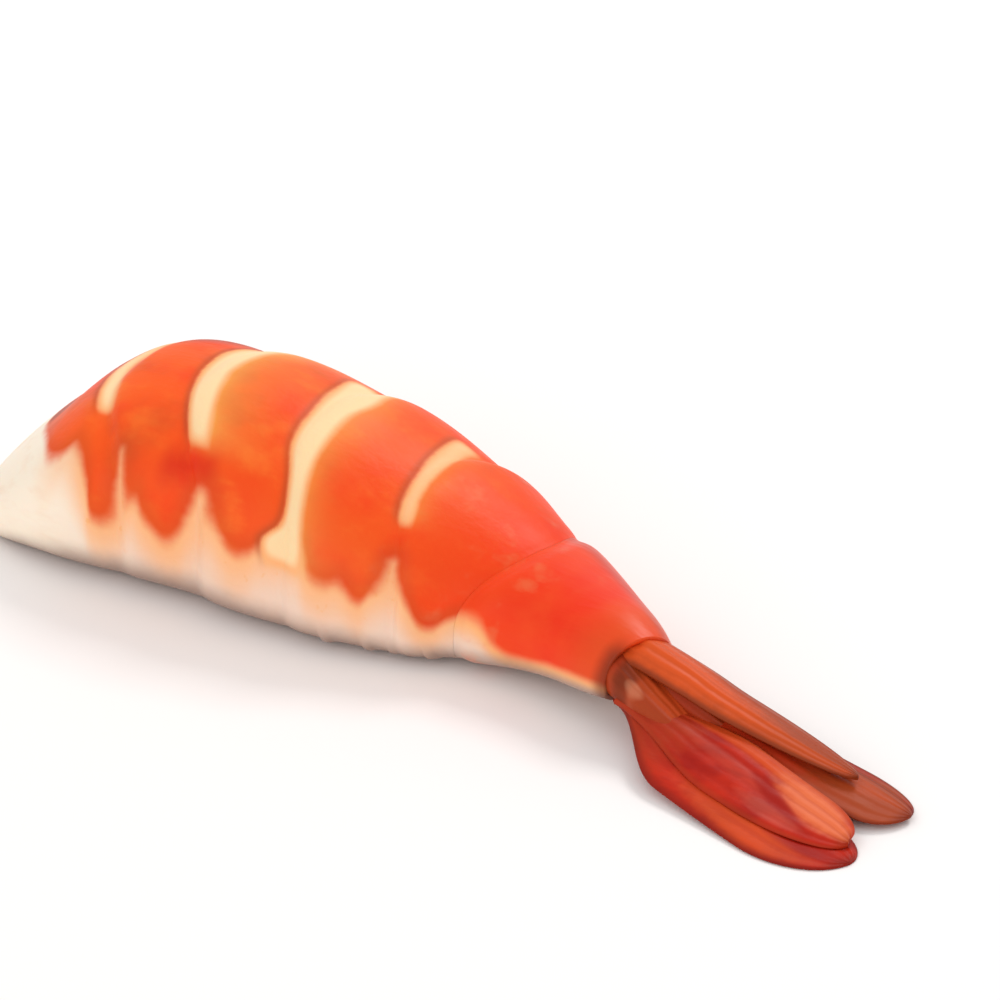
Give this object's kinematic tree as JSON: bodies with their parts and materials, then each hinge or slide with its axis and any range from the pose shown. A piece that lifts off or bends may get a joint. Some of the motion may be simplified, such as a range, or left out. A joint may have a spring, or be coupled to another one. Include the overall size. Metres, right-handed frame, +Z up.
{
  "type": "cooked peeled tiger prawn",
  "caption": "Peeled prawn lying belly down, with a banded, segmented back, the last shell segment and an open tail fan.",
  "frame": {"origin": "middle of the bounding box on the surface that the prawn rests on", "axes": "+X from the cut head end to the tail, +Y to the prawn's right side, +Z up"},
  "size_m": [0.1094, 0.0374, 0.0195],
  "materials": {
    "meat": "moist cooked meat, orange with cream bands between the segments and a pale belly",
    "tail_shell": "thin glossy red-orange shell with fine ribs"
  },
  "bodies": {
    "root": {"meat": "meat", "tail_segment": "tail_shell", "telson": "tail_shell", "uropod_inner_left": "tail_shell", "uropod_outer_left": "tail_shell", "uropod_inner_right": "tail_shell", "uropod_outer_right": "tail_shell"}
  },
  "joints": []
}
